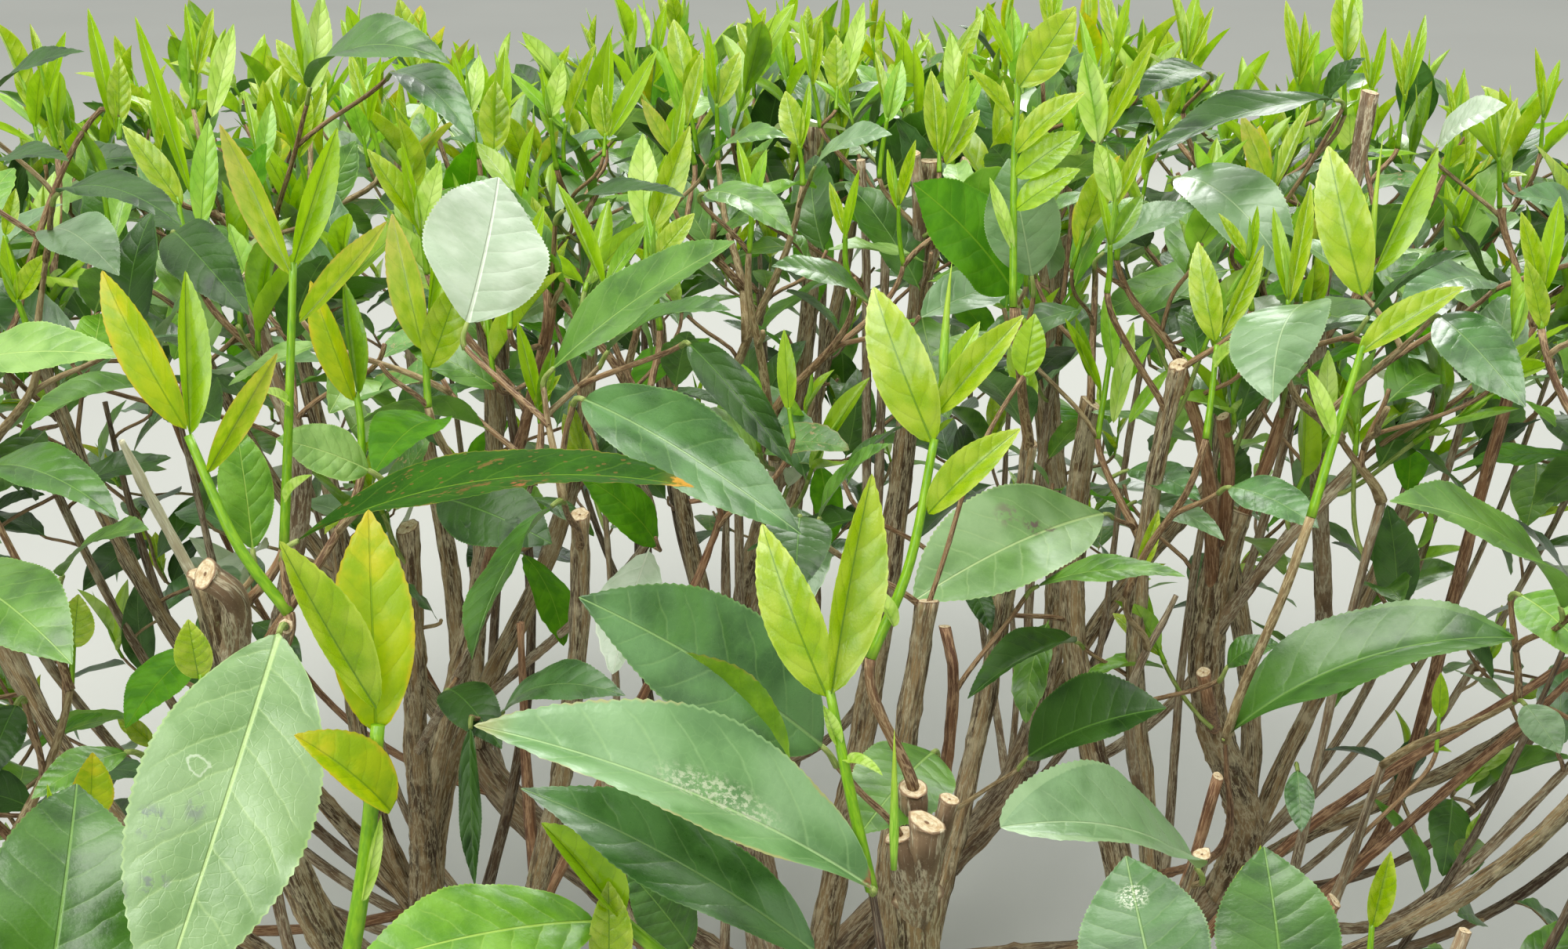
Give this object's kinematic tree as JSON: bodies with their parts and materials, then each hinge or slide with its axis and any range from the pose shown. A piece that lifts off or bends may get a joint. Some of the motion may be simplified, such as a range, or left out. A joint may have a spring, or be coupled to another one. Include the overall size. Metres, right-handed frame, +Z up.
{
  "type": "tea bush",
  "caption": "Plucked tea bush: low flared trunk, spreading boughs, upright pruned stems and a flat-topped open crown of dark mature leaves and bright young shoots.",
  "frame": {"origin": "on the flat cut at ground level, at the middle of the trunk's foot", "axes": "+Z up, -Y towards the side the picture is taken from, +X to the right in the picture; longest extent along X"},
  "size_m": [1.31, 1.23, 0.7536],
  "materials": {
    "trunk_bark": "rough fissured bark",
    "bough_bark": "rough fissured bark",
    "stem_bark": "fissured bark, tan ridges, pale pruned ends",
    "twig_bark": "smooth red-brown young bark",
    "green_shoot": "smooth green stem",
    "mature_leaf": "leathery half-gloss leaf",
    "young_leaf": "thin glossy yellow-green leaf"
  },
  "bodies": {
    "root": {"bough_back": "bough_bark", "bough_front": "bough_bark", "bough_left": "bough_bark", "bough_left_back": "bough_bark", "bough_left_front": "bough_bark", "bough_right": "bough_bark", "bough_right_back": "bough_bark", "bough_right_front": "bough_bark", "foliage_core": "young_leaf", "foliage_inner_1": "young_leaf", "foliage_inner_2": "young_leaf", "foliage_inner_3": "young_leaf", "foliage_inner_4": "young_leaf", "foliage_inner_5": "young_leaf", "foliage_outer_1": "mature_leaf", "foliage_outer_2": "mature_leaf", "foliage_outer_3": "mature_leaf", "foliage_outer_4": "mature_leaf", "foliage_outer_5": "mature_leaf", "foliage_outer_6": "mature_leaf", "foliage_outer_7": "mature_leaf", "foliage_outer_8": "mature_leaf", "foliage_outer_9": "mature_leaf", "foliage_skirt_1": "mature_leaf", "foliage_skirt_2": "mature_leaf", "foliage_skirt_3": "mature_leaf", "foliage_skirt_4": "mature_leaf", "foliage_skirt_5": "mature_leaf", "stem_back_1": "stem_bark", "stem_back_2": "stem_bark", "stem_back_3": "stem_bark", "stem_front_1": "stem_bark", "stem_front_2": "stem_bark", "stem_front_3": "stem_bark", "stem_front_4": "stem_bark", "stem_left_1": "stem_bark", "stem_left_2": "stem_bark", "stem_left_3": "stem_bark", "stem_left_4": "stem_bark", "stem_left_5": "stem_bark", "stem_left_back_1": "stem_bark", "stem_left_back_2": "stem_bark", "stem_left_back_3": "stem_bark", "stem_left_front_1": "stem_bark", "stem_left_front_2": "stem_bark", "stem_left_front_3": "stem_bark", "stem_middle": "stem_bark", "stem_right_1": "stem_bark", "stem_right_2": "stem_bark", "stem_right_3": "stem_bark", "stem_right_4": "stem_bark", "stem_right_5": "stem_bark", "stem_right_back_1": "stem_bark", "stem_right_back_2": "stem_bark", "stem_right_back_3": "stem_bark", "stem_right_front_1": "stem_bark", "stem_right_front_2": "stem_bark", "stem_right_front_3": "stem_bark", "trunk": "trunk_bark"}
  },
  "joints": []
}
